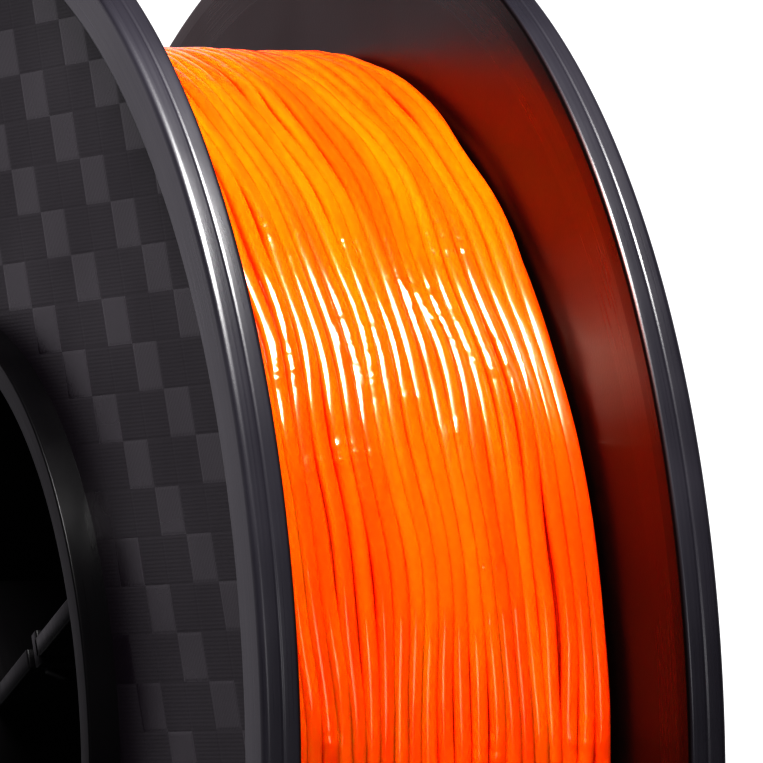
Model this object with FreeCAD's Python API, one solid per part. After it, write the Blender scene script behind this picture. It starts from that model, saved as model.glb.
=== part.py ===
import FreeCAD, Part
import math
import os

from FreeCAD import Vector

# A spool of printer filament, standing upright. All sizes are in millimetres.
# The spool's axis is Y and the origin is the centre of its bore. +X is the front and +Z is up.
# The shell is two identical mouldings, pressed together at the mid plane Y = 0. Each half is
# built here on the -Y side, and its twin is the same half turned over about a radial line.

# Driving dimensions of the shell
RIM_RADIUS = 100.0            # outside radius of both flanges
WINDING_GAP = 43.0            # between the two flanges' inner faces
RIM_THICKNESS = 4.5
PLATE_THICKNESS = 2.0         # the thin floor of each flange, inside its rim
RECESS_RADIUS = 93.5          # where that floor meets the rim
RECESS_SLOPE = 1.4            # radial run of the slope from the floor up to the rim's flat ring
RIM_OUTER_FILLET = 0.8
RIM_INNER_FILLET = 0.6
RIM_FLARE_LENGTH = 1.7        # the rim's inner face leans away from the filament near its edge
RIM_FLARE_DEPTH = 0.2
PARTING_GROOVE_WIDTH = 0.6    # the mould's parting line, a shallow groove round the rim's edge
PARTING_GROOVE_DEPTH = 0.06
DRUM_OUTER_RADIUS = 53.4
DRUM_INNER_RADIUS = 50.75
DRUM_PROUD = 1.0              # how far the drum's end stands out past the rim
BORE_RADIUS = 24.0
BORE_TUBE_WALL = 1.7
RING_END_CHAMFER = 0.3        # on the ends of the drum and of the bore tube

# Ribs, and the arms that hold the halves together. Angles turn from +X towards +Z.
RIB_COUNT = 8
FIRST_RIB_ANGLE = 23.0
RIB_THICKNESS = 2.4
RIB_END_DROP = 0.3            # the ribs' ends lie this far under the drum's end
SLOT_INNER_RADIUS = 36.9      # the slot across every other rib, which takes an arm
SLOT_OUTER_RADIUS = 38.6
GUIDE_THICKNESS = 1.6         # the short cross plate on the outer side of each slot
GUIDE_WIDTH = 4.0
ARM_THICKNESS = 1.1
ARM_WIDTH = 6.0
ARM_ROOT_LENGTH = 12.0        # of each arm, along the rib it grows from
ARM_TIP_DROP = 1.5            # between an arm's tip and the ends of the ribs around it
ARM_TIP_TAPER = 2.0           # length of the taper that leads each arm into its slot

# Filament, and the holes that hold its two ends
FILAMENT_DIAMETER = 1.75
TURNS_PER_LAYER = 24
WINDING_RADIUS = 83.6
WINDING_SIDE_GAP = 0.15       # between the winding and each flange
WINDING_BORE_GAP = 0.3        # between the winding and the drum
TURN_RIDGE_HEIGHT = 0.55      # from the valley between two turns to their crests
OUTER_LAYERS_DEPTH = 3.6      # the outer layers, which are a separate solid from the rest
TIE_HOLE_RADIUS = 2.5
TIE_HOLE_REACH = 88.5         # distance of the tie holes from the axis
TIE_HOLE_ANGLES = (215.0, 226.0)
TAIL_LAY_GAP = 0.06           # between the tail and what it lies on
TAIL_INSIDE_GAP = 1.0         # between the tail and the flange's inner face
TAIL_PASSAGE_ANGLE = 2.9      # how far round the spool each slanting passage goes
TAIL_BEND_RADII = (3.5, 3.0, 3.0, 3.5)
TAIL_STUB_ANGLE = 5.0         # how far round the spool the tail reaches past its second hole
TAIL_STUB_LEAN = 1.0          # how far its tip leans away from the flange
ANCHOR_HOLE_RADIUS = 1.3
ANCHOR_ANGLE = 165.0
ANCHOR_Y = -18.0
ANCHOR_INNER_REACH = 43.0     # the inner end of the filament stops this far from the axis

# Worked out from the above
HALF_GAP = WINDING_GAP / 2
RIM_FACE = HALF_GAP + RIM_THICKNESS
FLOOR_FACE = HALF_GAP + PLATE_THICKNESS
DRUM_END = RIM_FACE + DRUM_PROUD
RIB_END = DRUM_END - RIB_END_DROP
BORE_TUBE_RADIUS = BORE_RADIUS + BORE_TUBE_WALL
RIB_PITCH = 360.0 / RIB_COUNT
TURN_OVER_ANGLE = FIRST_RIB_ANGLE + RIB_PITCH / 2
SOCKET_RIBS = [FIRST_RIB_ANGLE + RIB_PITCH * k for k in range(0, RIB_COUNT, 2)]
ARM_RIBS = [FIRST_RIB_ANGLE + RIB_PITCH * k for k in range(1, RIB_COUNT, 2)]
WINDING_HALF_WIDTH = HALF_GAP - WINDING_SIDE_GAP
WINDING_INNER_RADIUS = DRUM_OUTER_RADIUS + WINDING_BORE_GAP
OUTER_LAYERS_RADIUS = WINDING_RADIUS - OUTER_LAYERS_DEPTH

ORIGIN = Vector(0, 0, 0)
AXLE = Vector(0, 1, 0)


def polar(radius, angle, y=0.0):
    """The point at this distance from the axis, at this angle, at this place along the axis."""
    turn = math.radians(angle)
    return Vector(radius * math.cos(turn), y, radius * math.sin(turn))


def at_angle(shape, angle):
    """Turns a shape that was built along +X round the axis to its own angle."""
    turned = shape.copy()
    turned.rotate(ORIGIN, AXLE, -angle)
    return turned


def turned_over(shape):
    """The same shape on the other half: turned over about a line between two ribs."""
    twin = shape.copy()
    twin.rotate(ORIGIN, polar(1, TURN_OVER_ANGLE), 180)
    return twin


def revolved(edges):
    """The ring swept by a closed outline in the XY plane, where X is the radius."""
    return Part.Face(Part.Wire(edges)).revolve(ORIGIN, AXLE, 360)


def outline(points):
    """Straight edges through these (radius, y) points, back to the first."""
    corners = [Vector(radius, y, 0) for radius, y in points]
    return [Part.makeLine(a, b) for a, b in zip(corners, corners[1:] + corners[:1])]


def ring(inner, outer, low, high):
    """A plain round ring along the axis."""
    return revolved(outline([(inner, low), (outer, low), (outer, high), (inner, high)]))


def tube(inner, outer, low, high, chamfer):
    """A round tube along the axis, with both edges chamfered at its low end."""
    return revolved(outline([
        (inner, low + chamfer),
        (inner + chamfer, low),
        (outer - chamfer, low),
        (outer, low + chamfer),
        (outer, high),
        (inner, high),
    ]))


def slab(inner, outer, width, low, high):
    """A block along +X, centred on the XY plane."""
    return Part.makeBox(outer - inner, high - low, width, Vector(inner, low, -width / 2))


def arc(start, middle, end):
    """An arc through three (radius, y) points."""
    return Part.Arc(*[Vector(radius, y, 0) for radius, y in (start, middle, end)]).toShape()


def corner_arc(centre, radius, start_angle, end_angle):
    """An arc about a (radius, y) centre, with its angles counted from the radial direction."""
    angles = (start_angle, (start_angle + end_angle) / 2, end_angle)
    return arc(*[
        (centre[0] + radius * math.cos(math.radians(a)),
         centre[1] + radius * math.sin(math.radians(a)))
        for a in angles
    ])


def rim():
    """The thick outer ring of a flange: rounded corners, a shallow groove and a sloped inner edge."""
    inner_corner_y = -HALF_GAP - RIM_FLARE_DEPTH - RIM_INNER_FILLET
    outer_corner_y = -RIM_FACE + RIM_OUTER_FILLET
    inner_corner = (RIM_RADIUS - RIM_INNER_FILLET, inner_corner_y)
    outer_corner = (RIM_RADIUS - RIM_OUTER_FILLET, outer_corner_y)
    groove_y = -HALF_GAP - RIM_THICKNESS / 2
    groove_start = (RIM_RADIUS, groove_y + PARTING_GROOVE_WIDTH / 2)
    groove_bottom = (RIM_RADIUS - PARTING_GROOVE_DEPTH, groove_y)
    groove_end = (RIM_RADIUS, groove_y - PARTING_GROOVE_WIDTH / 2)
    flare_end = (inner_corner[0], -HALF_GAP - RIM_FLARE_DEPTH)
    edges = outline([(RIM_RADIUS, inner_corner_y), groove_start])[:-1]
    edges.append(arc(groove_start, groove_bottom, groove_end))
    edges += outline([groove_end, (RIM_RADIUS, outer_corner_y)])[:-1]
    edges.append(corner_arc(outer_corner, RIM_OUTER_FILLET, 0, -90))
    edges += outline([
        (outer_corner[0], -RIM_FACE),
        (RECESS_RADIUS + RECESS_SLOPE, -RIM_FACE),
        (RECESS_RADIUS, -FLOOR_FACE),
        (RECESS_RADIUS, -HALF_GAP),
        (flare_end[0] - RIM_FLARE_LENGTH, -HALF_GAP),
        flare_end,
    ])[:-1]
    edges.append(corner_arc(inner_corner, RIM_INNER_FILLET, 90, 0))
    return revolved(edges)


def tie_holes():
    """Drills for the pair of holes that hold the filament's free end."""
    return [
        Part.makeCylinder(TIE_HOLE_RADIUS, 4 * PLATE_THICKNESS,
                          polar(TIE_HOLE_REACH, angle, -HALF_GAP - 3 * PLATE_THICKNESS), AXLE)
        for angle in TIE_HOLE_ANGLES
    ]


def flange_plate():
    """The thin floor of a flange, between the drum and the rim."""
    plate = ring(DRUM_OUTER_RADIUS, RECESS_RADIUS, -FLOOR_FACE, -HALF_GAP)
    return plate.cut(Part.makeCompound(tie_holes()))


def drum():
    """Half of the drum that carries the winding, with the hole that anchors the first turn."""
    whole = tube(DRUM_INNER_RADIUS, DRUM_OUTER_RADIUS, -DRUM_END, 0, RING_END_CHAMFER)
    drill = Part.makeCylinder(ANCHOR_HOLE_RADIUS, 20, polar(45, ANCHOR_ANGLE, ANCHOR_Y),
                              polar(1, ANCHOR_ANGLE))
    return whole.cut(drill)


def bore_tube():
    """Half of the tube that turns on the holder's spindle."""
    return tube(BORE_RADIUS, BORE_TUBE_RADIUS, -DRUM_END, 0, RING_END_CHAMFER)


def snap_arm():
    """One flat arm along +X: its root lies along a rib, and its tip reaches into the other half."""
    inner = (SLOT_INNER_RADIUS + SLOT_OUTER_RADIUS - ARM_THICKNESS) / 2
    tip = RIB_END - ARM_TIP_DROP
    half_width = ARM_WIDTH / 2
    corners = [
        Vector(inner, -ARM_ROOT_LENGTH, -half_width),
        Vector(inner, -ARM_ROOT_LENGTH, half_width),
        Vector(inner, tip - ARM_TIP_TAPER, half_width),
        Vector(inner, tip, half_width - ARM_TIP_TAPER / 2),
        Vector(inner, tip, ARM_TIP_TAPER / 2 - half_width),
        Vector(inner, tip - ARM_TIP_TAPER, -half_width),
    ]
    face = Part.Face(Part.makePolygon(corners + corners[:1]))
    return face.extrude(Vector(ARM_THICKNESS, 0, 0))


def guide_plate():
    """The cross plate along +X that backs an arm's outer side."""
    return slab(SLOT_OUTER_RADIUS, SLOT_OUTER_RADIUS + GUIDE_THICKNESS, GUIDE_WIDTH, -RIB_END, 0)


def rib_pieces():
    """The ribs of one half: whole webs that carry arms, and webs split by an arm's slot."""
    hub = Part.makeCylinder(BORE_TUBE_RADIUS, 2 * DRUM_END, Vector(0, -DRUM_END, 0), AXLE)
    room = Part.makeCylinder(DRUM_INNER_RADIUS, 2 * DRUM_END, Vector(0, -DRUM_END, 0), AXLE)

    def web(inner, outer):
        return slab(inner, outer, RIB_THICKNESS, -RIB_END, 0).cut(hub).common(room)

    whole = web(BORE_RADIUS, DRUM_OUTER_RADIUS).cut(snap_arm())
    foot = web(BORE_RADIUS, SLOT_INNER_RADIUS)
    head = web(SLOT_OUTER_RADIUS + GUIDE_THICKNESS, DRUM_OUTER_RADIUS)
    ribs = [at_angle(whole, angle) for angle in ARM_RIBS]
    ribs += [at_angle(part, angle) for angle in SOCKET_RIBS for part in (foot, head)]
    return ribs


def group(shapes):
    """Several separate solids as one node."""
    return Part.makeCompound([solid for shape in shapes for solid in shape.Solids])


def inner_winding():
    """The buried layers of filament, as one plain ring."""
    return ring(WINDING_INNER_RADIUS, OUTER_LAYERS_RADIUS, -WINDING_HALF_WIDTH, WINDING_HALF_WIDTH)


def outer_winding():
    """The outer layers, whose outside shows one rounded ridge for each turn."""
    half = WINDING_HALF_WIDTH
    pitch = 2 * half / TURNS_PER_LAYER
    valley = WINDING_RADIUS - TURN_RIDGE_HEIGHT
    edges = outline([
        (valley, -half), (OUTER_LAYERS_RADIUS, -half), (OUTER_LAYERS_RADIUS, half), (valley, half),
    ])[:-1]
    for turn in range(TURNS_PER_LAYER):
        high = half - turn * pitch
        edges.append(arc((valley, high), (WINDING_RADIUS, high - pitch / 2), (valley, high - pitch)))
    return revolved(edges)


def filament_run(points, radii):
    """A round length of filament through these points, with an arc of its own at each corner."""
    joints = [points[0]]
    path = []
    for before, corner, after, radius in zip(points, points[1:], points[2:], radii):
        back = (before - corner).normalize()
        ahead = (after - corner).normalize()
        half_turn = (math.pi - back.getAngle(ahead)) / 2
        reach = radius * math.tan(half_turn)
        start = corner + back * reach
        end = corner + ahead * reach
        inward = (back + ahead).normalize()
        middle = corner + inward * (radius / math.cos(half_turn) - radius)
        path.append(Part.makeLine(joints[-1], start))
        path.append(Part.Arc(start, middle, end).toShape())
        joints.append(end)
        print("bend radius", round(radius, 2), "turn", round(math.degrees(2 * half_turn), 1))
    path.append(Part.makeLine(joints[-1], points[-1]))
    spine = Part.Wire(path)
    start_direction = (points[1] - points[0]).normalize()
    circle = Part.Circle(points[0], start_direction, FILAMENT_DIAMETER / 2)
    profile = Part.Wire([circle.toShape()])
    solid = spine.makePipeShell([profile], True, False)
    section = math.pi * FILAMENT_DIAMETER ** 2 / 4
    print("run length", round(spine.Length, 1), "volume share", solid.Volume / spine.Length / section)
    return solid


def filament_tail():
    """The free end: off the winding, out through one tie hole, along the flange, in by the other."""
    radius = FILAMENT_DIAMETER / 2
    lay_y = -FLOOR_FACE - radius - TAIL_LAY_GAP
    inside_y = -HALF_GAP + radius + TAIL_INSIDE_GAP
    plate_y = (-FLOOR_FACE - HALF_GAP) / 2
    inner_share = (plate_y - inside_y) / (lay_y - inside_y) * TAIL_PASSAGE_ANGLE
    outer_share = TAIL_PASSAGE_ANGLE - inner_share
    first, second = TIE_HOLE_ANGLES
    leaving_radius = WINDING_RADIUS + radius + TAIL_LAY_GAP
    tangent_angle = math.degrees(math.acos(leaving_radius / TIE_HOLE_REACH))
    points = [
        polar(leaving_radius, first - inner_share - tangent_angle, inside_y),
        polar(TIE_HOLE_REACH, first - inner_share, inside_y),
        polar(TIE_HOLE_REACH, first + outer_share, lay_y),
        polar(TIE_HOLE_REACH, second - outer_share, lay_y),
        polar(TIE_HOLE_REACH, second + inner_share, inside_y),
        polar(TIE_HOLE_REACH, second + inner_share + TAIL_STUB_ANGLE, inside_y + TAIL_STUB_LEAN),
    ]
    return filament_run(points, TAIL_BEND_RADII)


def filament_inner_end():
    """The start of the filament, poked through the drum's anchor hole."""
    start = polar(DRUM_OUTER_RADIUS, ANCHOR_ANGLE, ANCHOR_Y)
    end = polar(ANCHOR_INNER_REACH, ANCHOR_ANGLE, ANCHOR_Y)
    inward = (end - start).normalize()
    return Part.makeCylinder(FILAMENT_DIAMETER / 2, (end - start).Length, start, inward)


half_shell = {
    "rim": rim(),
    "flange_plate": flange_plate(),
    "drum": drum(),
    "bore_tube": bore_tube(),
    "ribs": group(rib_pieces()),
    "arm_guides": group([at_angle(guide_plate(), angle) for angle in SOCKET_RIBS]),
    "snap_arms": group([at_angle(snap_arm(), angle) for angle in ARM_RIBS]),
}

nodes = {
    "filament_inner_winding": inner_winding(),
    "filament_outer_winding": outer_winding(),
    "filament_tail": filament_tail(),
    "filament_inner_end": filament_inner_end(),
}
for name, shape in half_shell.items():
    nodes["left_" + name] = shape
    nodes["right_" + name] = turned_over(shape)

os.makedirs("parts", exist_ok=True)
for name, shape in nodes.items():
    solids = len(shape.Solids)
    print(name, "solids", solids, "valid", shape.isValid(), "volume", round(shape.Volume, 1))
    shape.exportStep("parts/" + name + ".step")
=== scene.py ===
import math

import bmesh
import bpy
import numpy as np
from mathutils import Matrix, Vector, noise


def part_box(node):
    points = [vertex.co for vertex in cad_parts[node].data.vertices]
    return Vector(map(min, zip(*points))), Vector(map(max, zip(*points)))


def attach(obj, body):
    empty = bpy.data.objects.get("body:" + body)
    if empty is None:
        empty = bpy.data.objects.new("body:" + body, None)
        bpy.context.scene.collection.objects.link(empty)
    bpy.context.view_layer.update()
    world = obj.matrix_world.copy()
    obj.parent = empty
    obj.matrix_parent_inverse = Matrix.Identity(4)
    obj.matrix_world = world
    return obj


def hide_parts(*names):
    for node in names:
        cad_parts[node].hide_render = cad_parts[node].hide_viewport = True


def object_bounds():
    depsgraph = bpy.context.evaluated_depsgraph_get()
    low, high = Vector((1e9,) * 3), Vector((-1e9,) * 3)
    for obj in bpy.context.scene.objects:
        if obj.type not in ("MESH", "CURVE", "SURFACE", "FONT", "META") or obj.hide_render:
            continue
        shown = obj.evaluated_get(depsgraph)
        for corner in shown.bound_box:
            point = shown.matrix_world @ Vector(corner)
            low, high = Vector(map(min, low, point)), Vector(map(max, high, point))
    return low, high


# The looks of a spool of printer filament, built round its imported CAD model. Lengths are in
# metres, or in millimetres times MM. The spool's axis is Y, its left half is on the -Y side, and
# angles turn from +X, the front, towards +Z.
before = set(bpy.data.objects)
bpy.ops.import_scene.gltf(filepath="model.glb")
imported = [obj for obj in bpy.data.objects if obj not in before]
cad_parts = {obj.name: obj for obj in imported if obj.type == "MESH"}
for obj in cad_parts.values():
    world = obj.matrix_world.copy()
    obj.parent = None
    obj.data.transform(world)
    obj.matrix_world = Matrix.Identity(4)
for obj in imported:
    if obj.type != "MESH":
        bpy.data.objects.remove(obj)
cad_low, cad_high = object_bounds()

MM = 0.001
LATHE_STEPS = 360
SIDES = {"left": -1, "right": 1}


def radii(node):
    """A CAD node's smallest and largest distance from the spool's axis."""
    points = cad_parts[node].data.vertices
    distances = [math.hypot(point.co.x, point.co.z) for point in points]
    return min(distances), max(distances)


# Sizes read from the frame
RECESS_RADIUS, RIM_RADIUS = radii("left_rim")
DRUM_INNER_RADIUS, DRUM_OUTER_RADIUS = radii("left_drum")
BORE_RADIUS, BORE_TUBE_RADIUS = radii("left_bore_tube")
CORE_BORE_RADIUS = radii("filament_inner_winding")[0]
WINDING_RADIUS = radii("filament_outer_winding")[1]
RIM_FACE = -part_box("left_rim")[0].y
HALF_GAP = -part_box("left_rim")[1].y
FLOOR_FACE = -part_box("left_flange_plate")[0].y
DRUM_END = -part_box("left_drum")[0].y
RIB_END = -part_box("left_ribs")[0].y
WINDING_HALF_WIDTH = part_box("filament_outer_winding")[1].y

# Sizes shared with the CAD source, or finer than it holds
RECESS_SLOPE = 1.4 * MM
RIM_OUTER_FILLET = 0.8 * MM
RIM_INNER_FILLET = 0.6 * MM
RIM_FLARE_LENGTH = 1.7 * MM
RIM_FLARE_DEPTH = 0.2 * MM
GROOVE_WIDTH = 0.6 * MM
GROOVE_DEPTH = 0.06 * MM
PLATE_OVERLAP = 0.5 * MM       # the rim's foot runs this far in over the flange plate
EDGE_ROUNDING = 0.25 * MM
RIB_COUNT = 8
FIRST_RIB_ANGLE = 23.0
RIB_THICKNESS = 2.4 * MM
SLOT_INNER_RADIUS = 36.9 * MM
SLOT_OUTER_RADIUS = 38.6 * MM
GUIDE_THICKNESS = 1.6 * MM
GUIDE_WIDTH = 4.0 * MM
ARM_THICKNESS = 1.1 * MM
ARM_WIDTH = 6.0 * MM
ARM_ROOT_LENGTH = 12.0 * MM
ARM_TIP_DROP = 1.5 * MM
ARM_TIP_TAPER = 2.0 * MM
STRAND_RADIUS = 0.875 * MM
TIE_HOLE_RADIUS = 2.5 * MM
TIE_HOLE_REACH = 88.5 * MM
TIE_HOLE_ANGLES = (215.0, 226.0)
ANCHOR_HOLE_RADIUS = 1.3 * MM
ANCHOR_ANGLE = 165.0
ANCHOR_Y = -18.0 * MM
ANCHOR_INNER_REACH = 43.0 * MM

RIB_PITCH = 360.0 / RIB_COUNT
TURN_OVER_ANGLE = FIRST_RIB_ANGLE + RIB_PITCH / 2

# The camera, at the photograph's viewing angle
CAMERA_SPOT = Vector((1.0474, -0.4099, -0.0023))
CAMERA_YAW = 22.73             # from looking along -X, towards +Y
CAMERA_PITCH = 2.464           # upwards
CAMERA_LENS = 473.7
CAMERA_SENSOR = 36.0


def polar(radius, angle, y=0.0):
    """The point at this distance from the axis, at this angle, at this place along the axis."""
    turn = math.radians(angle)
    return Vector((radius * math.cos(turn), y, radius * math.sin(turn)))


def make_camera():
    data = bpy.data.cameras.new("camera")
    data.sensor_width = CAMERA_SENSOR
    data.lens = CAMERA_LENS
    data.clip_start = 10 * MM
    data.clip_end = 20.0
    camera = bpy.data.objects.new("camera", data)
    yaw = math.radians(CAMERA_YAW)
    pitch = math.radians(CAMERA_PITCH)
    ahead = Vector((
        -math.cos(yaw) * math.cos(pitch),
        math.sin(yaw) * math.cos(pitch),
        math.sin(pitch),
    ))
    camera.location = CAMERA_SPOT
    camera.rotation_mode = "QUATERNION"
    camera.rotation_quaternion = ahead.to_track_quat("-Z", "Y")
    bpy.context.scene.collection.objects.link(camera)
    bpy.context.scene.camera = camera


# --- Meshes -------------------------------------------------------------------------------------

def mesh_piece(name, points, faces, sharp_angle=40.0):
    """A mesh object from points and faces, shaded smooth except across sharp edges."""
    mesh = bpy.data.meshes.new(name)
    mesh.from_pydata([tuple(point) for point in points], [], faces)
    tidy = bmesh.new()
    tidy.from_mesh(mesh)
    bmesh.ops.recalc_face_normals(tidy, faces=tidy.faces)
    tidy.to_mesh(mesh)
    tidy.free()
    return shaded(mesh, name, sharp_angle)


def shaded(mesh, name, sharp_angle=40.0):
    mesh.shade_smooth()
    mesh.set_sharp_from_angle(angle=math.radians(sharp_angle))
    piece = bpy.data.objects.new(name, mesh)
    bpy.context.scene.collection.objects.link(piece)
    return piece


def rounded(corners, arc_step=10.0):
    """The outline through (radius, y, rounding) corners, with an arc in place of each sharp one."""
    outline = []
    count = len(corners)
    for index, (radius, y, rounding) in enumerate(corners):
        here = Vector((radius, y))
        if rounding == 0:
            outline.append(tuple(here))
            continue
        back = (Vector(corners[index - 1][:2]) - here).normalized()
        ahead = (Vector(corners[(index + 1) % count][:2]) - here).normalized()
        half_corner = back.angle(ahead) / 2
        reach = rounding / math.tan(half_corner)
        centre = here + (back + ahead).normalized() * (rounding / math.sin(half_corner))
        start = here + back * reach - centre
        turn = start.angle_signed(here + ahead * reach - centre)
        steps = max(2, round(math.degrees(abs(turn)) / arc_step))
        for step in range(steps + 1):
            share = turn * step / steps
            outline.append((
                centre.x + start.x * math.cos(share) + start.y * math.sin(share),
                centre.y - start.x * math.sin(share) + start.y * math.cos(share),
            ))
    return outline


def lathe(name, outline, steps=LATHE_STEPS, sharp_angle=40.0):
    """A closed (radius, y) outline turned about the spool's axis."""
    count = len(outline)
    points = [
        polar(radius, 360.0 * step / steps, y) for step in range(steps) for radius, y in outline
    ]
    faces = []
    for step in range(steps):
        here = step * count
        there = (step + 1) % steps * count
        for index in range(count):
            after = (index + 1) % count
            faces.append((here + index, here + after, there + after, there + index))
    return mesh_piece(name, points, faces, sharp_angle)


def round_section(radius, count):
    """A round strand's outline, as (outward, sideways) points."""
    turns = math.tau * np.arange(count) / count
    return radius * np.stack([np.cos(turns), np.sin(turns)], axis=1)


def tube_along(name, path, outward, sections):
    """A strand along a path. Its section is one outline, or an outline for each point."""
    count = sections.shape[-2]
    ahead = np.gradient(path, axis=0)
    ahead /= np.linalg.norm(ahead, axis=1)[:, None]
    up = outward - ahead * np.sum(outward * ahead, axis=1)[:, None]
    up /= np.linalg.norm(up, axis=1)[:, None]
    across = np.cross(ahead, up)
    rings = path[:, None, :] + (
        sections[..., 0, None] * up[:, None, :] + sections[..., 1, None] * across[:, None, :]
    )
    faces = [tuple(range(count))]
    for step in range(len(path) - 1):
        here = step * count
        for index in range(count):
            after = (index + 1) % count
            faces.append((here + index, here + after, here + count + after, here + count + index))
    last = (len(path) - 1) * count
    faces.append(tuple(last + index for index in reversed(range(count))))
    return mesh_piece(name, rings.reshape(-1, 3), faces, 70.0)


def drilled(piece, cutters):
    """Takes the cutters out of the piece."""
    for cutter in cutters:
        cut = piece.modifiers.new("cut", "BOOLEAN")
        cut.operation = "DIFFERENCE"
        cut.solver = "EXACT"
        cut.object = cutter
    bpy.context.view_layer.update()
    held = piece.evaluated_get(bpy.context.evaluated_depsgraph_get())
    mesh = bpy.data.meshes.new_from_object(held)
    piece.modifiers.clear()
    piece.data = mesh
    mesh.shade_smooth()
    mesh.set_sharp_from_angle(angle=math.radians(40.0))
    for cutter in cutters:
        bpy.data.objects.remove(cutter)
    return piece


def drill(place, axis, radius, low, high, lip):
    """A cutter for a round hole about an axis, from low to high, with rounded lips at both ends."""
    wall = [(radius + lip, low - lip)]
    arc_steps = 6
    for step in range(arc_steps + 1):
        turn = math.radians(90 * step / arc_steps)
        wall.append((radius + lip * (1 - math.sin(turn)), low + lip * (1 - math.cos(turn))))
    for step in range(arc_steps + 1):
        turn = math.radians(90 * (1 - step / arc_steps))
        wall.append((radius + lip * (1 - math.sin(turn)), high - lip * (1 - math.cos(turn))))
    wall.append((radius + lip, high + lip))
    steps = 48
    side = axis.orthogonal().normalized()
    other = axis.cross(side)
    points = []
    for step in range(steps):
        turn = math.tau * step / steps
        direction = side * math.cos(turn) + other * math.sin(turn)
        points += [place + axis * along + direction * out for out, along in wall]
    faces = []
    count = len(wall)
    for step in range(steps):
        here = step * count
        there = (step + 1) % steps * count
        for index in range(count - 1):
            faces.append((here + index, here + index + 1, there + index + 1, there + index))
    faces.append(tuple(step * count for step in range(steps)))
    faces.append(tuple(step * count + count - 1 for step in reversed(range(steps))))
    return mesh_piece("cutter", points, faces)


def blocks(name, parts, rounding=EDGE_ROUNDING):
    """Blocks with rounded edges. A part is its angle and the corners of a flat outline, (radius,
    sideways), swept along the axis from low to high."""
    whole = bmesh.new()
    for angle, outline, low, high in parts:
        turn = math.radians(angle)
        rings = []
        for y in (low, high):
            rings.append([
                whole.verts.new((
                    radius * math.cos(turn) - sideways * math.sin(turn),
                    y,
                    radius * math.sin(turn) + sideways * math.cos(turn),
                ))
                for radius, sideways in outline
            ])
        count = len(outline)
        whole.faces.new(rings[0])
        whole.faces.new(list(reversed(rings[1])))
        for index in range(count):
            after = (index + 1) % count
            whole.faces.new((rings[0][index], rings[1][index], rings[1][after], rings[0][after]))
    bmesh.ops.recalc_face_normals(whole, faces=whole.faces)
    bmesh.ops.bevel(
        whole, geom=whole.edges[:], offset=rounding, segments=3, profile=0.5, affect="EDGES",
        clamp_overlap=True,
    )
    mesh = bpy.data.meshes.new(name)
    whole.to_mesh(mesh)
    whole.free()
    return shaded(mesh, name)


# --- The shell ----------------------------------------------------------------------------------

def rim(side):
    """The thick outer ring of one flange, with its foot on the flange plate."""
    foot = RECESS_RADIUS - PLATE_OVERLAP
    slope_top = RECESS_RADIUS + RECESS_SLOPE
    groove_y = (RIM_FACE + HALF_GAP) / 2
    corners = [
        (foot, HALF_GAP, 0),
        (RIM_RADIUS - RIM_INNER_FILLET - RIM_FLARE_LENGTH, HALF_GAP, 2 * MM),
        (RIM_RADIUS, HALF_GAP + RIM_FLARE_DEPTH, RIM_INNER_FILLET),
    ]
    groove_steps = 12
    for step in range(groove_steps + 1):
        share = 2 * step / groove_steps - 1
        depth = GROOVE_DEPTH * (1 + math.cos(math.pi * share)) / 2
        corners.append((RIM_RADIUS - depth, groove_y + share * GROOVE_WIDTH / 2, 0))
    corners += [
        (RIM_RADIUS, RIM_FACE, RIM_OUTER_FILLET),
        (slope_top, RIM_FACE, 0.5 * MM),
        (RECESS_RADIUS, FLOOR_FACE, 0.3 * MM),
        (foot, FLOOR_FACE, 0),
    ]
    outline = rounded([(radius, side * y, rounding) for radius, y, rounding in corners], 6.0)
    return lathe("rim", outline)


def flange_plate(side):
    """The thin floor of one flange, with its two tie holes."""
    inner = (DRUM_INNER_RADIUS + DRUM_OUTER_RADIUS) / 2
    outer = RECESS_RADIUS - PLATE_OVERLAP
    plate = lathe("flange_plate", [
        (inner, side * HALF_GAP),
        (outer, side * HALF_GAP),
        (outer, side * FLOOR_FACE),
        (inner, side * FLOOR_FACE),
    ])
    low, high = sorted((side * HALF_GAP, side * FLOOR_FACE))
    angles = TIE_HOLE_ANGLES
    if side > 0:
        angles = [2 * TURN_OVER_ANGLE - angle for angle in TIE_HOLE_ANGLES]
    return drilled(plate, [
        drill(polar(TIE_HOLE_REACH, angle), Vector((0, 1, 0)), TIE_HOLE_RADIUS, low, high, 0.3 * MM)
        for angle in angles
    ])


def drum(side):
    """Half of the drum that carries the winding, with the anchor hole."""
    wall = lathe("drum", rounded([
        (DRUM_INNER_RADIUS, 0, 0),
        (DRUM_OUTER_RADIUS, 0, 0),
        (DRUM_OUTER_RADIUS, side * DRUM_END, EDGE_ROUNDING),
        (DRUM_INNER_RADIUS, side * DRUM_END, EDGE_ROUNDING),
    ]))
    angle = ANCHOR_ANGLE if side < 0 else 2 * TURN_OVER_ANGLE - ANCHOR_ANGLE
    hole = drill(
        polar(0, angle, -side * ANCHOR_Y), polar(1, angle), ANCHOR_HOLE_RADIUS,
        DRUM_INNER_RADIUS, DRUM_OUTER_RADIUS, EDGE_ROUNDING,
    )
    return drilled(wall, [hole])


def bore_tube(side):
    """Half of the tube that turns on the holder's spindle."""
    return lathe("bore_tube", rounded([
        (BORE_RADIUS, 0, 0),
        (BORE_TUBE_RADIUS, 0, 0),
        (BORE_TUBE_RADIUS, side * DRUM_END, EDGE_ROUNDING),
        (BORE_RADIUS, side * DRUM_END, EDGE_ROUNDING),
    ]))


def own_angle(side, angle):
    """A left half's angle, or the place that it turns over to on the right half."""
    return angle if side < 0 else 2 * TURN_OVER_ANGLE - angle


def block_outline(inner, outer, width):
    return [(inner, -width / 2), (outer, -width / 2), (outer, width / 2), (inner, width / 2)]


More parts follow.
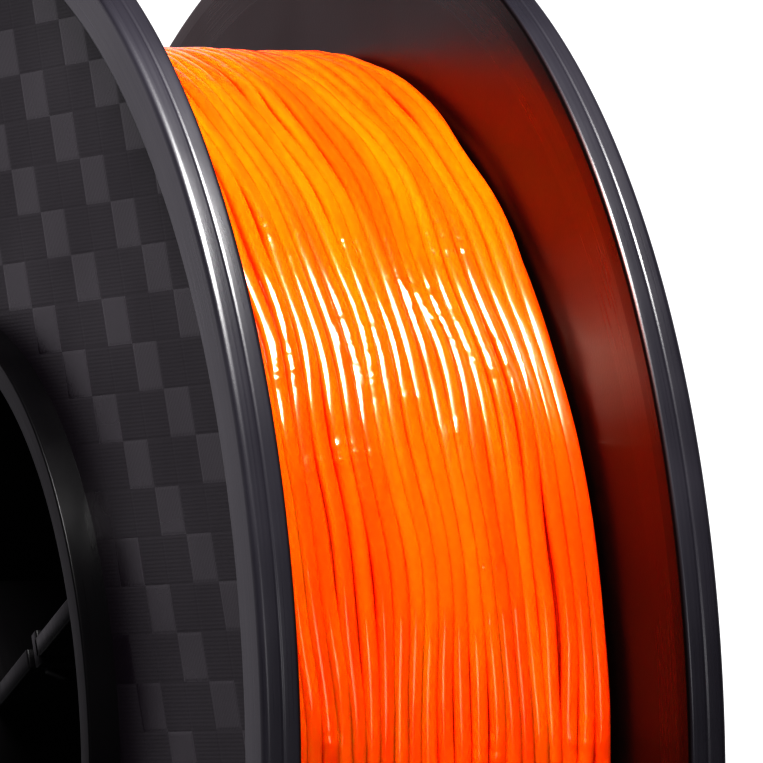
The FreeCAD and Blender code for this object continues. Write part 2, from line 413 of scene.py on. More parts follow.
def rib_angles(first):
    return [FIRST_RIB_ANGLE + RIB_PITCH * index for index in range(first, RIB_COUNT, 2)]


def ribs(side):
    """The ribs between bore tube and drum: every other one is split by an arm's slot."""
    start = BORE_TUBE_RADIUS - EDGE_ROUNDING * 2
    end = DRUM_INNER_RADIUS + EDGE_ROUNDING * 2
    head = SLOT_OUTER_RADIUS + GUIDE_THICKNESS / 2
    low, high = sorted((0, side * RIB_END))
    parts = []
    for angle in rib_angles(1):
        outline = block_outline(start, end, RIB_THICKNESS)
        parts.append((own_angle(side, angle), outline, low, high))
    for angle in rib_angles(0):
        for inner, outer in ((start, SLOT_INNER_RADIUS), (head, end)):
            outline = block_outline(inner, outer, RIB_THICKNESS)
            parts.append((own_angle(side, angle), outline, low, high))
    return blocks("ribs", parts)


def arm_guides(side):
    """The short cross plates that back the arms."""
    low, high = sorted((0, side * RIB_END))
    outline = block_outline(SLOT_OUTER_RADIUS, SLOT_OUTER_RADIUS + GUIDE_THICKNESS, GUIDE_WIDTH)
    return blocks("arm_guides", [
        (own_angle(side, angle), outline, low, high) for angle in rib_angles(0)
    ])


def snap_arms(side):
    """The flat arms that reach into the other half."""
    inner = (SLOT_INNER_RADIUS + SLOT_OUTER_RADIUS - ARM_THICKNESS) / 2
    root = side * ARM_ROOT_LENGTH
    tip = -side * (RIB_END - ARM_TIP_DROP)
    neck = tip + side * ARM_TIP_TAPER
    half = ARM_WIDTH / 2
    whole = bmesh.new()
    for angle in rib_angles(1):
        turn = math.radians(own_angle(side, angle))
        sheets = []
        for radius in (inner, inner + ARM_THICKNESS):
            flat = [(root, -half), (root, half), (neck, half), (tip, half - ARM_TIP_TAPER / 2),
                    (tip, ARM_TIP_TAPER / 2 - half), (neck, -half)]
            sheets.append([
                whole.verts.new((
                    radius * math.cos(turn) - sideways * math.sin(turn),
                    y,
                    radius * math.sin(turn) + sideways * math.cos(turn),
                ))
                for y, sideways in flat
            ])
        whole.faces.new(sheets[0])
        whole.faces.new(list(reversed(sheets[1])))
        for index in range(len(sheets[0])):
            after = (index + 1) % len(sheets[0])
            whole.faces.new((
                sheets[0][index], sheets[1][index], sheets[1][after], sheets[0][after],
            ))
    bmesh.ops.recalc_face_normals(whole, faces=whole.faces)
    bmesh.ops.bevel(
        whole, geom=whole.edges[:], offset=EDGE_ROUNDING, segments=3, profile=0.5,
        affect="EDGES", clamp_overlap=True,
    )
    mesh = bpy.data.meshes.new("snap_arms")
    whole.to_mesh(mesh)
    whole.free()
    return shaded(mesh, "snap_arms")


# --- The filament -------------------------------------------------------------------------------

LAYER_STEP = 1.6 * MM           # from one layer's strands to the next layer's
LAYER_COUNT = 3                 # layers wound strand by strand, round a plain core
TURNS = 23                      # of the outermost layer, before its end leaves for the tie holes
TOP_START_Y = 19.5 * MM         # where the outermost layer starts, a little short of its flange
PRESSED_HALF_WIDTH = 0.96 * MM  # a strand's section in the outermost layer
PRESSED_HALF_HEIGHT = 0.85 * MM
PRESSED_POWER = 2.8
TAIL_PASSAGE_ANGLE = 2.9
TAIL_INSIDE_GAP = 1.0 * MM
TAIL_LAY_GAP = 0.06 * MM
TAIL_Y = -HALF_GAP + STRAND_RADIUS + TAIL_INSIDE_GAP
TAIL_STUB_ANGLE = 5.0
TAIL_STUB_LEAN = 1.0 * MM
CROSSING_ANGLE = 36.0           # where most of each turn's step to the side is taken
CROSSING_WIDTH = 26.0
CROSSING_SHARE = 0.55
CLOSEST = 1.55                  # the least distance between neighbouring turns, in millimetres
HUGGING_TURNS = 0.7             # how long each layer's first turn runs along its flange
TOP_WANDER = 1.8 * MM           # how far the outermost turns stray along the axis
BURIED_WANDER = 0.2 * MM
SWELL = 0.35 * MM               # how far they rise and sink, over about one crossing
RIPPLE = 0.03 * MM              # and over a few millimetres
HIGHEST_RISE = 0.25 * MM        # past the winding's own radius, at most
TOP_STEP = 1.2                  # degrees from one ring of points to the next
BURIED_STEP = 2.0
BURIED_TURNS = 23.0
FREED_RINGS = 30                # the top strand turns from pressed to round over this many rings


def smooth_step(values):
    held = np.clip(values, 0, 1)
    return held * held * (3 - 2 * held)


def softened(values, reach):
    """A running average along the strand, three times over, which leaves no corners."""
    kernel = np.ones(2 * reach + 1) / (2 * reach + 1)
    for _ in range(3):
        padded = np.concatenate([np.full(reach, values[0]), values, np.full(reach, values[-1])])
        values = np.convolve(padded, kernel, "valid")
    return values


def waviness(y, degrees, scale_y, scale_around, seed):
    """Smooth noise over the winding's surface, the same after each whole turn."""
    turns = np.radians(degrees)
    around = WINDING_RADIUS / scale_around
    places = zip(around * np.cos(turns), y / scale_y + seed, around * np.sin(turns))
    return np.array([noise.noise(Vector(spot)) for spot in places])


def wound_layer(start_angle, turns, start_y, end_y, step, seed, wander):
    """One layer's angles and places along the axis, from its first turn to its last."""
    degrees = start_angle + np.arange(0, turns * 360 + step / 2, step)
    whole = (degrees - CROSSING_ANGLE) / 360
    inside = (whole - np.floor(whole) - 0.5) * 360 / CROSSING_WIDTH + 0.5
    stepped = np.floor(whole) + smooth_step(inside)
    advance = (1 - CROSSING_SHARE) * whole + CROSSING_SHARE * (stepped + 0.5)
    share = (advance - advance[0]) / (advance[-1] - advance[0])
    pitch = (end_y - start_y) / (turns - HUGGING_TURNS)
    y = start_y + (end_y - start_y + pitch * HUGGING_TURNS) * share - pitch * HUGGING_TURNS
    y = y + wander * waviness(y, degrees, 7 * MM, 16 * MM, seed)
    y = y + wander / 8 * waviness(y, degrees, 1.5 * MM, 12 * MM, seed + 40)
    return degrees, spread_out(y, step, *sorted((start_y, end_y)))


def spread_out(y, step, low, high):
    """Pushes neighbouring turns apart to a strand's width, and keeps them between two limits."""
    per_turn = round(360 / step)
    gap = CLOSEST * MM
    y = y.copy()
    way = 1 if y[-1] > y[0] else -1
    for _ in range(40):
        apart = way * (y[per_turn:] - y[:-per_turn])
        push = np.clip(gap - apart, 0, None) / 2 * way
        y[per_turn:] += push
        y[:-per_turn] -= push
        y = np.clip(y, low, high)
    return softened(y, max(1, round(3 / step)))


def stacked(y, degrees, under_y, under_degrees, under_radius, step):
    """How far out a layer's strand lies on the layer under it."""
    per_turn = round(360 / step)
    slots = np.round((degrees % 360) / step).astype(int) % per_turn
    under_slots = np.round((under_degrees % 360) / step).astype(int) % per_turn
    size = (2 * STRAND_RADIUS) ** 2
    radius = np.full(len(y), under_radius.min())
    for slot in range(per_turn):
        mine = np.nonzero(slots == slot)[0]
        theirs = np.nonzero(under_slots == slot)[0]
        apart = y[mine][:, None] - under_y[theirs][None, :]
        rest = under_radius[theirs][None, :] + np.sqrt(np.clip(size - apart ** 2, 0, None))
        rest = np.where(np.abs(apart) < 2 * STRAND_RADIUS, rest, 0)
        radius[mine] = np.maximum(rest.max(axis=1), under_radius[theirs].min())
    return softened(radius, max(1, round(4 / step)))


def around_axis(degrees, radius, y):
    turns = np.radians(degrees)
    return np.stack([radius * np.cos(turns), y, radius * np.sin(turns)], axis=1)


def outward_at(path):
    flat = path * np.array([1.0, 0.0, 1.0])
    return flat / np.linalg.norm(flat, axis=1)[:, None]


def pressed_section():
    """The outline of a strand in the outermost layer, pressed flat against its neighbours."""
    crown = np.array([0.0, 0.3, 0.58, 0.82, 0.96])
    height = (1 - crown ** PRESSED_POWER) ** (1 / PRESSED_POWER)
    right = np.stack([height, crown], axis=1)
    foot = np.array([[-0.55, 0.85], [-1.0, 0.0], [-0.55, -0.85]])
    left = (right * np.array([1.0, -1.0]))[:0:-1]
    outline = np.concatenate([right, foot, left])
    return outline * np.array([PRESSED_HALF_HEIGHT, PRESSED_HALF_WIDTH])


def tail_route():
    """The free end's control points: out by one tie hole, along the flange, in by the other."""
    lay_y = -FLOOR_FACE - STRAND_RADIUS - TAIL_LAY_GAP
    plate_y = (-FLOOR_FACE - HALF_GAP) / 2
    inner_share = (plate_y - TAIL_Y) / (lay_y - TAIL_Y) * TAIL_PASSAGE_ANGLE
    outer_share = TAIL_PASSAGE_ANGLE - inner_share
    first, second = TIE_HOLE_ANGLES
    return [
        polar(TIE_HOLE_REACH, first - inner_share, TAIL_Y),
        polar(TIE_HOLE_REACH, first + outer_share, lay_y),
        polar(TIE_HOLE_REACH, second - outer_share, lay_y),
        polar(TIE_HOLE_REACH, second + inner_share, TAIL_Y),
        polar(TIE_HOLE_REACH, second + inner_share + TAIL_STUB_ANGLE, TAIL_Y + TAIL_STUB_LEAN),
    ]


def smooth_route(points, spacing):
    """Points along the NURBS spline that these control points give."""
    data = bpy.data.curves.new("route", "CURVE")
    data.dimensions = "3D"
    spline = data.splines.new("NURBS")
    spline.points.add(len(points) - 1)
    for held, point in zip(spline.points, points):
        held.co = (*point, 1.0)
    spline.order_u = 3
    spline.use_endpoint_u = True
    data.resolution_u = 24
    carrier = bpy.data.objects.new("route", data)
    bpy.context.scene.collection.objects.link(carrier)
    bpy.context.view_layer.update()
    held = carrier.evaluated_get(bpy.context.evaluated_depsgraph_get())
    line = bpy.data.meshes.new_from_object(held)
    fine = np.array([vertex.co for vertex in line.vertices])
    bpy.data.objects.remove(carrier)
    bpy.data.meshes.remove(line)
    reach = np.concatenate([[0], np.cumsum(np.linalg.norm(np.diff(fine, axis=0), axis=1))])
    keep = reach[np.concatenate([[True], np.diff(reach) > 1e-9])]
    fine = fine[np.concatenate([[True], np.diff(reach) > 1e-9])]
    places = np.linspace(0, keep[-1], max(2, round(keep[-1] / spacing)))
    return np.stack([np.interp(places, keep, fine[:, axis]) for axis in range(3)], axis=1)


def outer_layers():
    """The strand's outermost layer, whose end is tucked into the tie holes, and those under it."""
    top_y = WINDING_HALF_WIDTH - STRAND_RADIUS
    pieces = []
    top_centre = WINDING_RADIUS - STRAND_RADIUS
    step = BURIED_STEP
    leave = TIE_HOLE_ANGLES[0] - math.degrees(math.acos(top_centre / TIE_HOLE_REACH)) - 1.2
    start = leave - 360 * TURNS
    bottom = top_centre - LAYER_COUNT * LAYER_STEP
    ends = [(top_y, -top_y), (-top_y, top_y)]
    under = None
    for index, (begin, end) in enumerate(ends):
        degrees, y = wound_layer(
            start, BURIED_TURNS, begin, end, step, 11.0 * index, BURIED_WANDER,
        )
        if under is None:
            radius = np.full(len(y), bottom + LAYER_STEP)
        else:
            radius = stacked(y, degrees, *under, step)
        under = (y, degrees, radius)
        path = around_axis(degrees, radius, y)
        pieces.append(tube_along("layer", path, outward_at(path), round_section(STRAND_RADIUS, 8)))
    step = TOP_STEP
    degrees, y = wound_layer(start, TURNS, TOP_START_Y, TAIL_Y, step, 70.0, TOP_WANDER)
    fine = [np.interp(degrees, under[1], under[index]) for index in (0, 2)]
    radius = stacked(y, degrees, fine[0], degrees, fine[1], step)
    radius += SWELL * waviness(y, degrees, 1.4 * MM, 12 * MM, 90.0)
    radius += RIPPLE * waviness(y, degrees, 1.2 * MM, 2.5 * MM, 150.0)
    radius += WINDING_RADIUS - PRESSED_HALF_HEIGHT - np.percentile(radius, 97)
    radius = np.minimum(radius, top_centre + HIGHEST_RISE)
    wound = around_axis(degrees, radius, y)
    leaving = [Vector(wound[-1]), Vector(wound[-1] * 2 - wound[-2])]
    tail = smooth_route(leaving + tail_route(), 0.9 * MM)
    path = np.concatenate([wound, tail[1:]])
    sections = np.tile(pressed_section(), (len(path), 1, 1))
    past_start = np.arange(len(path)) - len(wound) + FREED_RINGS
    freed = smooth_step(past_start / FREED_RINGS)[:, None, None]
    sections += freed * (round_section(STRAND_RADIUS, 12) - sections)
    pieces.append(tube_along("top", path, outward_at(path), sections))
    return pieces


def winding_core():
    """The buried layers: rings on both sides, one for each layer, and turns inside the bore."""
    outer = WINDING_RADIUS - STRAND_RADIUS - (LAYER_COUNT - 0.5) * LAYER_STEP
    layers = round((outer - CORE_BORE_RADIUS) / LAYER_STEP)
    layer_step = (outer - CORE_BORE_RADIUS) / layers
    outline = []
    arc_steps = 6
    for side in (1, -1):
        for index in range(layers):
            place = index if side > 0 else layers - 1 - index
            crest = WINDING_HALF_WIDTH - (place % 2) * STRAND_RADIUS
            for step in range(arc_steps):
                turn = math.pi * (step + 0.5) / arc_steps
                lift = STRAND_RADIUS * (math.sin(turn) - 1)
                along = (place + 0.5 - side * math.cos(turn) / 2) * layer_step
                outline.append((CORE_BORE_RADIUS + along, side * (crest + lift)))
    turns = 24
    pitch = 2 * (WINDING_HALF_WIDTH - STRAND_RADIUS) / turns
    for index in range(turns):
        for step in range(arc_steps):
            turn = math.pi * (step + 0.5) / arc_steps
            lift = STRAND_RADIUS * (1 - math.sin(turn))
            y = -WINDING_HALF_WIDTH + STRAND_RADIUS + (index + 0.5 - math.cos(turn) / 2) * pitch
            outline.append((CORE_BORE_RADIUS + lift, y))
    return lathe("core", outline, 180, 80.0)


def inner_end():
    """The strand's first end, poked through the drum's anchor hole."""
    route = [
        polar(CORE_BORE_RADIUS, ANCHOR_ANGLE, ANCHOR_Y),
        polar(DRUM_INNER_RADIUS, ANCHOR_ANGLE, ANCHOR_Y),
        polar(ANCHOR_INNER_REACH + 3 * MM, ANCHOR_ANGLE - 0.6, ANCHOR_Y),
        polar(ANCHOR_INNER_REACH, ANCHOR_ANGLE + 1.0, ANCHOR_Y + 0.6 * MM),
    ]
    path = smooth_route(route, 0.6 * MM)
    sideways = np.tile(np.array([0.0, 1.0, 0.0]), (len(path), 1))
    return tube_along("inner_end", path, sideways, round_section(STRAND_RADIUS * 0.98, 15))


# --- Materials ----------------------------------------------------------------------------------

def add(tree, kind, inputs=None, **settings):
    """Adds a node. An input's value is a number, a colour or another node's output."""
    node = tree.nodes.new(kind)
    for name, value in settings.items():
        setattr(node, name, value)
    for key, value in (inputs or {}).items():
        if isinstance(value, bpy.types.NodeSocket):
            tree.links.new(value, node.inputs[key])
        else:
            node.inputs[key].default_value = value
    return node


def maths(tree, operation, *values):
    return add(tree, "ShaderNodeMath", dict(enumerate(values)), operation=operation).outputs[0]


def mapped(tree, value, low, high, to_low=0.0, to_high=1.0, smooth=False):
    node = add(
        tree, "ShaderNodeMapRange",
        {"Value": value, "From Min": low, "From Max": high, "To Min": to_low, "To Max": to_high},
    )
    if smooth:
        node.interpolation_type = "SMOOTHSTEP"
    return node.outputs[0]


def mixed(tree, share, first, second):
    """A colour between two others."""
    node = add(tree, "ShaderNodeMix", data_type="RGBA")
    for key, value in ((0, share), (6, first), (7, second)):
        if isinstance(value, bpy.types.NodeSocket):
            tree.links.new(value, node.inputs[key])
        else:
            node.inputs[key].default_value = value
    return node.outputs[2]


def clouds(tree, vector, scale, detail=2.0):
    node = add(tree, "ShaderNodeTexNoise", {"Vector": vector, "Scale": scale, "Detail": detail})
    return node.outputs["Fac"]


def bump(tree, height, distance, strength=1.0, under=None):
    inputs = {"Height": height, "Distance": distance, "Strength": strength}
    if under is not None:
        inputs["Normal"] = under
    return add(tree, "ShaderNodeBump", inputs).outputs["Normal"]


def new_material(name):
    material = bpy.data.materials.new(name)
    material.use_nodes = True
    tree = material.node_tree
    tree.nodes.clear()
    shader = add(tree, "ShaderNodeBsdfPrincipled")
    output = add(tree, "ShaderNodeOutputMaterial")
    tree.links.new(shader.outputs[0], output.inputs["Surface"])
    return material, tree, shader


INNER_GLOSS = 0.25              # of the faces that the filament lies against
# Painted reflection: a red specular tint on those faces stands in for the orange winding mirrored
# in them.
INNER_REFLECTION_TINT = (1.0, 0.2, 0.12, 1.0)
# Painted shade: the faces that the filament lies against get a darker base than the same black
# plastic elsewhere.
INNER_SHADE_BLACK = (0.0025, 0.0022, 0.0025, 1.0)
WHITE = (1.0, 1.0, 1.0, 1.0)
BLACK = (0.0065, 0.006, 0.007, 1.0)
WORN_BLACK = (0.011, 0.010, 0.0115, 1.0)
# Painted sheen: the rim's base tones, mixed at random, are lighter and bluer than the plate's
# black, for the sheen the rim shows.
RIM_SHEEN_TONES = ((0.0125, 0.0115, 0.0155, 1.0), (0.019, 0.0175, 0.023, 1.0))
# Painted shade: the drum, bore tube, ribs, guides and arms get a darker base than the same black
# plastic elsewhere.
HUB_SHADE_TONES = ((0.0022, 0.002, 0.0024, 1.0), (0.004, 0.0036, 0.0042, 1.0))
DUST = (0.22, 0.21, 0.21, 1.0)


def object_place(tree):
    """The place in the spool's own frame, in millimetres, as a vector and its three parts."""
    place = add(tree, "ShaderNodeTexCoord").outputs["Object"]
    scaled = add(tree, "ShaderNodeVectorMath", {0: place, "Scale": 1 / MM}, operation="SCALE")
    vector = scaled.outputs[0]
    parts = add(tree, "ShaderNodeSeparateXYZ", {0: vector})
    return vector, parts.outputs[0], parts.outputs[1], parts.outputs[2]


def around_place(tree):
    """The place unrolled about the axis: distance round it, across it and out from it, in mm."""
    vector, x, y, z = object_place(tree)
    angle = maths(tree, "ARCTAN2", z, x)
    radius = maths(tree, "SQRT", maths(tree, "ADD", maths(tree, "MULTIPLY", x, x),
                                       maths(tree, "MULTIPLY", z, z)))
    round_the_rim = maths(tree, "MULTIPLY", angle, RIM_RADIUS / MM)
    return vector, round_the_rim, y, radius


def moulded_black(name, tones, roughness, gloss, meets_filament=False):
    """Satin black moulding: fine streaks round the axis, a soft grain, and a few specks of dust."""
    material, tree, shader = new_material(name)
    vector, around, y, radius = around_place(tree)
    streaked = add(tree, "ShaderNodeCombineXYZ", {
        0: maths(tree, "MULTIPLY", around, 0.03),
        1: maths(tree, "MULTIPLY", y, 4.0),
        2: maths(tree, "MULTIPLY", radius, 4.0),
    }).outputs[0]
    streaks = clouds(tree, streaked, 1.0, 4.0)
    grain = clouds(tree, vector, 3.2, 3.0)
    broad = clouds(tree, vector, 0.05, 2.0)
    specks = add(tree, "ShaderNodeTexVoronoi", {"Vector": vector, "Scale": 0.09})
    speck = mapped(tree, specks.outputs["Distance"], 0.012, 0.02, 1.0, 0.0, True)
    tone = mixed(tree, mapped(tree, broad, 0.35, 0.75), *tones)
    shader.inputs["Specular IOR Level"].default_value = gloss
    if meets_filament:
        inner_y = HALF_GAP / MM
        outside = mapped(tree, maths(tree, "ABSOLUTE", y), inner_y + 0.3, inner_y + 0.6)
        # Painted shade: a darker base on the inner faces beside the filament.
        tone = mixed(tree, outside, INNER_SHADE_BLACK, tone)
        shine = mapped(tree, outside, 0.0, 1.0, INNER_GLOSS, gloss)
        tree.links.new(shine, shader.inputs["Specular IOR Level"])
        # Painted reflection: the inner faces' reflections are tinted red, for the orange winding
        # they face.
        tree.links.new(mixed(tree, outside, INNER_REFLECTION_TINT, WHITE), shader.inputs["Specular Tint"])
    colour = mixed(tree, speck, tone, DUST)
    tree.links.new(colour, shader.inputs["Base Color"])
    rough = maths(tree, "ADD", mapped(tree, streaks, 0.25, 0.75, -0.04, 0.05),
                  mapped(tree, broad, 0.3, 0.7, roughness - 0.03, roughness + 0.04))
    tree.links.new(rough, shader.inputs["Roughness"])
    shader.inputs["IOR"].default_value = 1.5
    first = bump(tree, streaks, 0.006 * MM, 0.15)
    tree.links.new(bump(tree, grain, 0.02 * MM, 0.3, first), shader.inputs["Normal"])
    return material


CELL_WIDTH = 6.96               # of the twill pattern, all in millimetres
CELL_HEIGHT = 5.15
CELL_LEAN = 2.16                # each cell leans forward by this much from its top to its bottom
TWILL_X = 45.6                  # the middle of one light cell
TWILL_Z = 65.5
LINE_PITCH = 0.42               # of the fine lines in each cell
DARK_CELL = (0.007, 0.0042, 0.0075, 1.0)
LIGHT_CELL = (0.009, 0.006, 0.0095, 1.0)


def twill_black(name, side):
    """The recess's moulded twill: each third cell is light, one further on in the next row."""
    material, tree, shader = new_material(name)
    vector, x, y, z = object_place(tree)
    if side > 0:
        turned = add(
            tree, "ShaderNodeVectorRotate",
            {"Vector": vector, "Axis": polar(1, TURN_OVER_ANGLE), "Angle": math.pi},
            rotation_type="AXIS_ANGLE",
        ).outputs[0]
        parts = add(tree, "ShaderNodeSeparateXYZ", {0: turned})
        x, y, z = parts.outputs
    rows = maths(tree, "DIVIDE", maths(tree, "SUBTRACT", TWILL_Z, z), CELL_HEIGHT)
    down = maths(tree, "ADD", rows, 0.5)
    lean = maths(tree, "MULTIPLY", maths(tree, "SUBTRACT", down, 0.5), CELL_LEAN)
    across = maths(tree, "SUBTRACT", maths(tree, "SUBTRACT", x, TWILL_X), lean)
    column = maths(tree, "ADD", maths(tree, "DIVIDE", across, CELL_WIDTH), 0.5)
    row_index = maths(tree, "FLOOR", down)
    column_index = maths(tree, "FLOOR", column)
    order = maths(tree, "SUBTRACT", column_index, row_index)
    third = maths(tree, "WRAP", order, 3.0, 0.0)
    light = maths(tree, "COMPARE", third, 0.0, 0.4)
    in_cell = maths(tree, "FRACT", column)
    in_row = maths(tree, "FRACT", down)
    off_u = maths(tree, "ABSOLUTE", maths(tree, "SUBTRACT", in_cell, 0.5))
    off_v = maths(tree, "ABSOLUTE", maths(tree, "SUBTRACT", in_row, 0.5))
    edge_u = maths(tree, "MULTIPLY", off_u, CELL_WIDTH)
    edge_v = maths(tree, "MULTIPLY", off_v, CELL_HEIGHT)
    soft_u = mapped(tree, edge_u, CELL_WIDTH / 2 - 0.5, CELL_WIDTH / 2, 1.0, 0.0, True)
    soft_v = mapped(tree, edge_v, CELL_HEIGHT / 2 - 0.35, CELL_HEIGHT / 2, 1.0, 0.0, True)
    crown = maths(tree, "MULTIPLY", soft_u, soft_v)
    across_lines = maths(tree, "SINE", maths(tree, "MULTIPLY", z, math.tau / LINE_PITCH))
    along_lines = maths(tree, "SINE", maths(tree, "MULTIPLY", across, math.tau / LINE_PITCH))
    lines = add(tree, "ShaderNodeMix", {0: light, 2: across_lines, 3: along_lines}).outputs[0]
    radius = maths(tree, "SQRT", maths(tree, "ADD", maths(tree, "MULTIPLY", x, x),
                                       maths(tree, "MULTIPLY", z, z)))
    face_y = FLOOR_FACE / MM
    rim_start = RECESS_RADIUS / MM
    on_face = mapped(tree, maths(tree, "MULTIPLY", y, -1.0), face_y - 0.2, face_y - 0.1)
    inside_rim = mapped(tree, radius, rim_start - 0.7, rim_start - 0.5, 1.0, 0.0)
    mask = maths(tree, "MULTIPLY", on_face, inside_rim)
    grain = clouds(tree, vector, 3.2, 3.0)
    broad = clouds(tree, vector, 0.05, 2.0)
    lit = maths(tree, "MULTIPLY", light, mask)
    dark = maths(tree, "MULTIPLY", maths(tree, "SUBTRACT", 1.0, light), mask)
    tone = mixed(tree, mapped(tree, broad, 0.35, 0.75), BLACK, WORN_BLACK)
    tone = mixed(tree, dark, tone, DARK_CELL)
    tone = mixed(tree, lit, tone, LIGHT_CELL)
    # Painted shade: the plate's inner face, beside the filament, gets the darker base.
    tone = mixed(tree, on_face, INNER_SHADE_BLACK, tone)
    tree.links.new(tone, shader.inputs["Base Color"])
    rough = maths(tree, "ADD", mapped(tree, broad, 0.3, 0.7, 0.25, 0.31),
                  maths(tree, "MULTIPLY", dark, 0.20))
    rough = maths(tree, "ADD", rough, mapped(tree, on_face, 0.0, 1.0, 0.05, 0.0))
    tree.links.new(rough, shader.inputs["Roughness"])
    shader.inputs["IOR"].default_value = 1.5
    lit_loss = maths(tree, "MULTIPLY", lit, -0.30)
    dark_loss = maths(tree, "MULTIPLY", dark, -0.15)
    face_gloss = maths(tree, "ADD", maths(tree, "ADD", lit_loss, dark_loss), 0.5)
    gloss = mapped(tree, on_face, 0.0, 1.0, INNER_GLOSS, face_gloss)
    tree.links.new(gloss, shader.inputs["Specular IOR Level"])
    # Painted reflection: the plate's inner face has its reflections tinted red, for the orange
    # winding it faces.
    tint = mixed(tree, on_face, INNER_REFLECTION_TINT, WHITE)
    tree.links.new(tint, shader.inputs["Specular Tint"])
    first = bump(tree, maths(tree, "MULTIPLY", lines, mask), 0.006 * MM, 0.4)
    second = bump(tree, maths(tree, "MULTIPLY", crown, mask), 0.03 * MM, 0.3, first)
    tree.links.new(bump(tree, grain, 0.02 * MM, 0.3, second), shader.inputs["Normal"])
    return material


PALE_ORANGE = (1.0, 0.106, 0.0004, 1.0)
DEEP_ORANGE = (1.0, 0.063, 0.0003, 1.0)


def orange_filament():
    """Glossy, slightly translucent orange that changes from strand to strand, with faint beads."""
    material, tree, shader = new_material("orange_filament")
    vector, around, y, radius = around_place(tree)
    stretched = add(tree, "ShaderNodeCombineXYZ", {
        0: maths(tree, "MULTIPLY", around, 0.5), 1: y, 2: radius,
    }).outputs[0]
    strung = add(tree, "ShaderNodeCombineXYZ", {
        0: maths(tree, "MULTIPLY", around, 0.55), 1: maths(tree, "MULTIPLY", y, 0.25), 2: 0.0,
    }).outputs[0]
    beads = clouds(tree, strung, 1.0, 1.0)
    patches = clouds(tree, stretched, 0.16, 1.0)
    where = mapped(tree, patches, 0.58, 0.68, 0.03, 1.0, True)
    by_strand = add(tree, "ShaderNodeCombineXYZ", {
        0: maths(tree, "MULTIPLY", around, 0.015), 1: maths(tree, "MULTIPLY", y, 0.33), 2: 7.0,
    }).outputs[0]
    tint = clouds(tree, by_strand, 1.0, 2.0)
    colour = mixed(tree, mapped(tree, tint, 0.32, 0.68, 0.0, 1.0, True), PALE_ORANGE, DEEP_ORANGE)
    tree.links.new(colour, shader.inputs["Base Color"])
    by_turn = add(tree, "ShaderNodeCombineXYZ", {
        0: maths(tree, "MULTIPLY", around, 0.03), 1: maths(tree, "MULTIPLY", y, 0.45), 2: 0.0,
    }).outputs[0]
    rough = maths(tree, "ADD", mapped(tree, clouds(tree, vector, 0.6, 2.0), 0.3, 0.7, 0.0, 0.02),
                  mapped(tree, clouds(tree, by_turn, 1.0, 1.0), 0.35, 0.65, 0.09, 0.16, True))
    tree.links.new(rough, shader.inputs["Roughness"])
    shader.inputs["IOR"].default_value = 1.48
    shader.inputs["Specular Tint"].default_value = (1.0, 0.95, 0.8, 1.0)
    shader.inputs["Subsurface Weight"].default_value = 1.0
    shader.inputs["Subsurface Radius"].default_value = (1.0, 0.5, 0.2)
    shader.inputs["Subsurface Scale"].default_value = 2.4 * MM
    height = maths(tree, "MULTIPLY", beads, where)
    tree.links.new(bump(tree, height, 0.2 * MM, 1.0), shader.inputs["Normal"])
    return material


# --- Floor, lights and surroundings --------------------------------------------------------------

def pale_floor():
    size = 6.0
    low = cad_low.z
    points = [(-size, -size, low), (size, -size, low), (size, size, low), (-size, size, low)]
    floor = mesh_piece("floor", points, [(0, 1, 2, 3)])
    material, tree, shader = new_material("pale_floor")
    vector = object_place(tree)[0]
    tone = mixed(
        tree, clouds(tree, vector, 0.01, 2.0), (0.25, 0.25, 0.26, 1.0), (0.28, 0.28, 0.29, 1.0),
    )
    tree.links.new(tone, shader.inputs["Base Color"])
    shader.inputs["Roughness"].default_value = 0.7
    floor.data.materials.append(material)


LIT_SPOT = Vector((0.07, 0.0, 0.05))     # what the lights face: the upper front of the winding


def softbox(name, direction, distance, width, height, radiance, colour=(1.0, 1.0, 1.0)):
    """An oval area light that faces the spool from this direction, its width along the axis."""
    data = bpy.data.lights.new(name, "AREA")
    data.shape = "ELLIPSE"
    data.size = width
    data.size_y = height
    data.energy = radiance * math.pi * width * height
    data.color = colour
    light = bpy.data.objects.new(name, data)
    toward = Vector(direction).normalized()
    light.location = LIT_SPOT + toward * distance
    light.rotation_mode = "QUATERNION"
    along = Vector((0, 1, 0)) - toward * toward.y
    along.normalize()
    turn = Matrix((along, toward.cross(along), toward)).transposed()
    light.rotation_quaternion = turn.to_quaternion()
    bpy.context.scene.collection.objects.link(light)


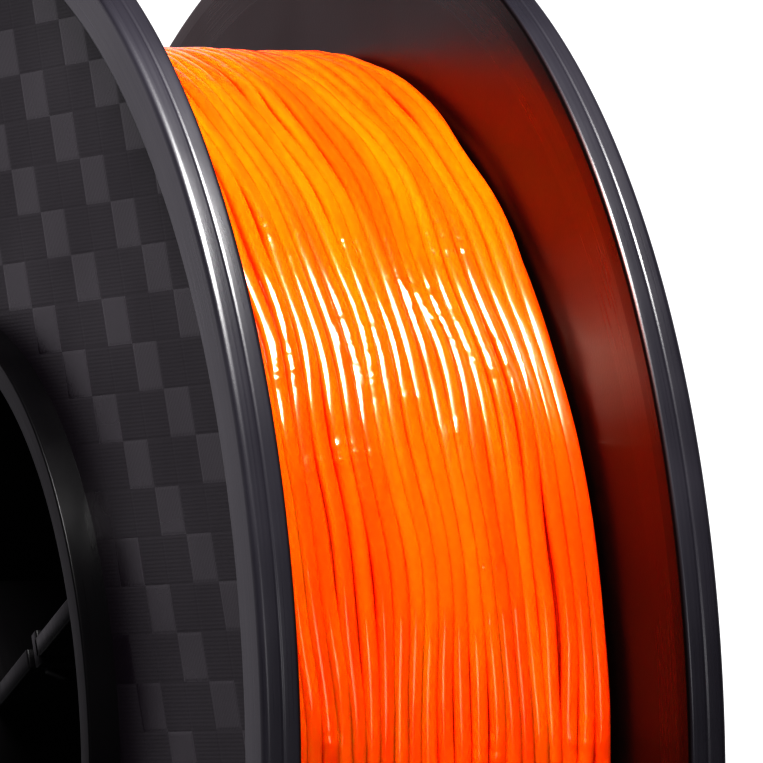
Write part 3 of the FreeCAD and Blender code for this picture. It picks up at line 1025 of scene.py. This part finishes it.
def studio():
    softbox("key", (0.31, -0.19, 0.93), 0.42, 0.38, 0.12, 51.0, (1.0, 0.99, 0.98))
    softbox("low_front", (0.95, 0.02, 0.25), 1.25, 0.44, 0.34, 2.9)
    world = bpy.data.worlds.new("studio")
    bpy.context.scene.world = world
    world.use_nodes = True
    tree = world.node_tree
    tree.nodes.clear()
    direction = add(tree, "ShaderNodeTexCoord").outputs["Generated"]
    parts = add(tree, "ShaderNodeSeparateXYZ", {0: direction})
    behind = mapped(tree, parts.outputs[0], 0.3, -0.9, 0.0, 1.0, True)
    low_down = mapped(tree, parts.outputs[2], 0.25, 0.55, 1.0, 0.0, True)
    level = mapped(tree, maths(tree, "MULTIPLY", behind, low_down), 0.0, 1.0, 0.05, 0.66)
    room = add(tree, "ShaderNodeBackground", {"Color": (0.98, 0.93, 1.0, 1.0), "Strength": level})
    backdrop = add(tree, "ShaderNodeBackground", {"Color": (1.0, 1.0, 1.0, 1.0), "Strength": 1.0})
    seen = add(tree, "ShaderNodeLightPath").outputs["Is Camera Ray"]
    both = add(tree, "ShaderNodeMixShader", {0: seen, 1: room.outputs[0], 2: backdrop.outputs[0]})
    output = add(tree, "ShaderNodeOutputWorld")
    tree.links.new(both.outputs[0], output.inputs["Surface"])
    bpy.context.scene.view_settings.view_transform = "Standard"
    bpy.context.scene.view_settings.look = "High Contrast"


# --- The assembly -------------------------------------------------------------------------------

def place(piece, name, body, slot, material, *nodes):
    piece.name = name
    piece.data.name = name
    piece.data.materials.clear()
    piece.data.materials.append(material)
    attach(piece, body)
    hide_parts(*nodes)


def build_half(side_name):
    side = SIDES[side_name]
    makers = {
        "rim": rim, "flange_plate": flange_plate, "drum": drum, "bore_tube": bore_tube,
        "ribs": ribs, "arm_guides": arm_guides, "snap_arms": snap_arms,
    }
    blacks = {"rim": rim_black, "flange_plate": twill_black(side_name + "_twill_black", side)}
    for part, maker in makers.items():
        node = side_name + "_" + part
        material = blacks.get(part, hub_black)
        place(maker(side), node + "_moulding", side_name + "_half", "black_plastic", material, node)


def build_filament():
    orange = orange_filament()
    buried, second, top = outer_layers()
    body = "left_half"
    slot = "orange_filament"
    place(winding_core(), "filament_core_layers", body, slot, orange, "filament_inner_winding")
    place(buried, "filament_third_layer", body, slot, orange, "filament_outer_winding")
    place(second, "filament_second_layer", body, slot, orange, "filament_outer_winding")
    place(top, "filament_top_layer_and_tail", body, slot, orange,
          "filament_outer_winding", "filament_tail")
    place(inner_end(), "filament_anchored_end", body, slot, orange, "filament_inner_end")


make_camera()
studio()
pale_floor()
# Painted sheen: the rim gets lighter, bluer base tones than the rest of the same moulding.
rim_black = moulded_black("rim_black", RIM_SHEEN_TONES, 0.29, 0.5, True)
# Painted shade: the hub's pieces get a darker base than the rest of the same moulding.
hub_black = moulded_black("hub_black", HUB_SHADE_TONES, 0.30, 0.08)
for half_name in SIDES:
    build_half(half_name)
build_filament()
